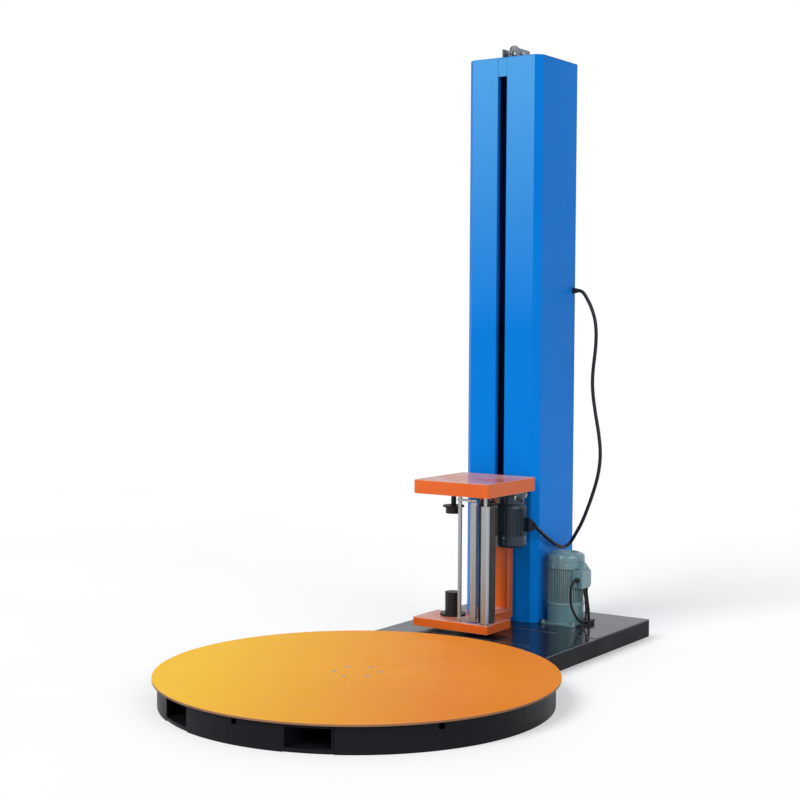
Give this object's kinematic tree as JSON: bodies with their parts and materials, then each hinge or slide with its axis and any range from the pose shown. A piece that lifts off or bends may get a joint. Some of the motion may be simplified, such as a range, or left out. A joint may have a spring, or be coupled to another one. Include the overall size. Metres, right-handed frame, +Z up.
{
  "type": "turntable pallet wrapper",
  "caption": "Turntable pallet wrapper: low round load table, slotted mast with a chain lift, and a film carriage with stretch rollers.",
  "frame": {"origin": "the table's turning axis at floor level", "axes": "+Z up, +Y from the table towards the mast, +X to the right as seen from the table's side"},
  "size_m": [1.6498, 2.5969, 2.8607],
  "materials": {
    "black_paint": "semi-gloss black paint on steel sheet",
    "table_orange": "smooth satin orange paint",
    "mast_blue": "satin blue powder coat",
    "carriage_orange": "satin orange powder coat",
    "motor_green": "grey-green enamel over cast aluminium",
    "bare_steel": "machined or zinc-plated steel",
    "dark_steel": "blackened steel",
    "black_nylon": "black nylon and cable sheath",
    "roller_rubber": "matt black rubber",
    "signal_red": "glossy red plastic",
    "signal_green": "glossy green plastic"
  },
  "bodies": {
    "base": {"floor_plates": "black_paint", "skirt_panels": "black_paint", "fork_pockets": "black_paint", "deck_frame": "black_paint", "mast_base_plate": "black_paint", "deck_covers": "black_paint", "centre_spindle": "bare_steel", "roller_brackets": "bare_steel", "table_gearbox": "motor_green", "table_motor": "motor_green", "table_terminal_box": "motor_green", "cable_glands": "black_nylon", "motor_cable_front": "black_nylon", "motor_cable_rear": "black_nylon", "table_chain": "bare_steel", "base_fasteners": "bare_steel", "mast_left_shell": "mast_blue", "mast_right_shell": "mast_blue", "mast_closing_plate": "mast_blue", "mast_top_plate": "mast_blue", "mast_rear_panel": "mast_blue", "guide_rails": "bare_steel", "lift_gearmotor": "motor_green", "lift_chain": "bare_steel", "head_bearings": "dark_steel", "carriage_cable": "black_nylon", "equipment_plate": "bare_steel"},
    "turntable": {"table_plate": "table_orange", "table_hub": "bare_steel", "table_sprocket": "bare_steel", "hub_bolts": "bare_steel"},
    "motor_sprocket": {"motor_sprocket": "bare_steel"},
    "roller_front": {"support_roller_front": "bare_steel"},
    "roller_rear": {"support_roller_rear": "bare_steel"},
    "roller_left": {"support_roller_left": "bare_steel"},
    "roller_right": {"support_roller_right": "bare_steel"},
    "head_sprocket": {"head_sprocket": "bare_steel"},
    "foot_sprocket": {"foot_sprocket": "bare_steel"},
    "carriage": {"carriage_case": "carriage_orange", "carriage_bearing_plate": "carriage_orange", "carriage_column": "carriage_orange", "carriage_tray": "carriage_orange", "trolley": "bare_steel", "stretch_gearbox": "motor_green", "stretch_motor": "motor_green", "stretch_terminal_box": "dark_steel"},
    "stretch_fast": {"stretch_roller_fast": "roller_rubber"},
    "stretch_slow": {"stretch_roller_slow": "roller_rubber"},
    "pinion": {"stretch_pinion": "bare_steel"},
    "idle_inlet": {"idle_roller_inlet": "bare_steel"},
    "idle_outlet": {"idle_roller_outlet": "bare_steel"},
    "dancer": {"dancer_arm": "bare_steel"},
    "dancer_roller": {"dancer_roller": "bare_steel"},
    "film_spindle": {"film_spindle": "black_nylon"},
    "core_holder": {"film_core_holder": "black_nylon"},
    "door": {"control_door": "mast_blue"},
    "emergency_stop": {"emergency_stop": "signal_red"},
    "start_button": {"start_button": "signal_green"},
    "stop_button": {"stop_button": "signal_red"},
    "main_switch": {"main_switch": "black_nylon"}
  },
  "joints": [
    {"name": "table_turn", "type": "hinge", "parent": "base", "child": "turntable", "pos_m": [0, 0, 0.11], "axis": [0, 0, 1], "continuous": true},
    {"name": "motor_sprocket_turn", "type": "hinge", "parent": "base", "child": "motor_sprocket", "pos_m": [0.172, 1.465, 0.056], "axis": [0, 0, 1], "continuous": true},
    {"name": "roller_front_turn", "type": "hinge", "parent": "base", "child": "roller_front", "pos_m": [0, -0.64, 0.077], "axis": [0, -1, 0], "continuous": true},
    {"name": "roller_rear_turn", "type": "hinge", "parent": "base", "child": "roller_rear", "pos_m": [0, 0.64, 0.077], "axis": [0, 1, 0], "continuous": true},
    {"name": "roller_left_turn", "type": "hinge", "parent": "base", "child": "roller_left", "pos_m": [-0.64, 0, 0.077], "axis": [-1, 0, 0], "continuous": true},
    {"name": "roller_right_turn", "type": "hinge", "parent": "base", "child": "roller_right", "pos_m": [0.64, 0, 0.077], "axis": [1, 0, 0], "continuous": true},
    {"name": "carriage_lift", "type": "slide", "parent": "base", "child": "carriage", "axis": [0, 0, 1], "range_m": [0, 1.8], "deforming": ["lift_chain", "carriage_cable"]},
    {"name": "head_sprocket_turn", "type": "hinge", "parent": "base", "child": "head_sprocket", "pos_m": [-0.13, 1.457, 2.814], "axis": [1, 0, 0], "range_deg": [-2600, 10]},
    {"name": "foot_sprocket_turn", "type": "hinge", "parent": "base", "child": "foot_sprocket", "pos_m": [-0.13, 1.457, 0.27], "axis": [1, 0, 0], "range_deg": [-2600, 10]},
    {"name": "stretch_slow_turn", "type": "hinge", "parent": "carriage", "child": "stretch_slow", "pos_m": [-0.04394, 1.09276, 0.46], "axis": [0, 0, 1], "continuous": true},
    {"name": "stretch_fast_turn", "type": "hinge", "parent": "carriage", "child": "stretch_fast", "pos_m": [0.017, 0.98592, 0.46], "axis": [0, 0, 1], "continuous": true},
    {"name": "pinion_turn", "type": "hinge", "parent": "carriage", "child": "pinion", "pos_m": [0.012, 1.209, 0.75], "axis": [0, 0, 1], "continuous": true},
    {"name": "idle_inlet_turn", "type": "hinge", "parent": "carriage", "child": "idle_inlet", "pos_m": [-0.1, 1.21, 0.46], "axis": [0, 0, 1], "continuous": true},
    {"name": "idle_outlet_turn", "type": "hinge", "parent": "carriage", "child": "idle_outlet", "pos_m": [0.045, 0.924, 0.46], "axis": [0, 0, 1], "continuous": true},
    {"name": "dancer_swing", "type": "hinge", "parent": "carriage", "child": "dancer", "pos_m": [-0.09, 0.925, 0.46], "axis": [0, 0, 1], "range_deg": [-40, 0], "stiffness_Nm_per_rad": 6, "springref_deg": 5.73},
    {"name": "dancer_roller_turn", "type": "hinge", "parent": "dancer", "child": "dancer_roller", "pos_m": [-0.015, 0.925, 0.46], "axis": [0, 0, 1], "continuous": true},
    {"name": "film_spindle_turn", "type": "hinge", "parent": "carriage", "child": "film_spindle", "pos_m": [-0.204, 1.05, 0.22], "axis": [0, 0, 1], "continuous": true},
    {"name": "core_holder_lift", "type": "slide", "parent": "carriage", "child": "core_holder", "axis": [0, 0, 1], "range_m": [0, 0.036], "stiffness_N_per_m": 400, "springref_m": -0.02},
    {"name": "door_swing", "type": "hinge", "parent": "base", "child": "door", "pos_m": [-0.322, 1.729, 1.305], "axis": [0, 0, 1], "range_deg": [0, 110]},
    {"name": "emergency_stop_press", "type": "slide", "parent": "door", "child": "emergency_stop", "axis": [0, -1, 0], "range_m": [0, 0.005]},
    {"name": "start_press", "type": "slide", "parent": "door", "child": "start_button", "axis": [0, -1, 0], "range_m": [0, 0.003], "stiffness_N_per_m": 800, "springref_m": -0.002},
    {"name": "stop_press", "type": "slide", "parent": "door", "child": "stop_button", "axis": [0, -1, 0], "range_m": [0, 0.003], "stiffness_N_per_m": 800, "springref_m": -0.002},
    {"name": "main_switch_turn", "type": "hinge", "parent": "door", "child": "main_switch", "pos_m": [-0.03, 1.74, 1.39], "axis": [0, 1, 0], "range_deg": [0, 90]}
  ],
  "couplings": [
    {"joint": "motor_sprocket_turn", "follows": "table_turn", "ratio": 5},
    {"joint": "roller_front_turn", "follows": "table_turn", "ratio": -21.549},
    {"joint": "roller_rear_turn", "follows": "table_turn", "ratio": -21.549},
    {"joint": "roller_left_turn", "follows": "table_turn", "ratio": -21.549},
    {"joint": "roller_right_turn", "follows": "table_turn", "ratio": -21.549},
    {"joint": "head_sprocket_turn", "follows": "carriage_lift", "rad_per_m": -24.578},
    {"joint": "foot_sprocket_turn", "follows": "carriage_lift", "rad_per_m": -24.578},
    {"joint": "stretch_fast_turn", "follows": "stretch_slow_turn", "ratio": -2.9048},
    {"joint": "pinion_turn", "follows": "stretch_slow_turn", "ratio": -2.44}
  ]
}
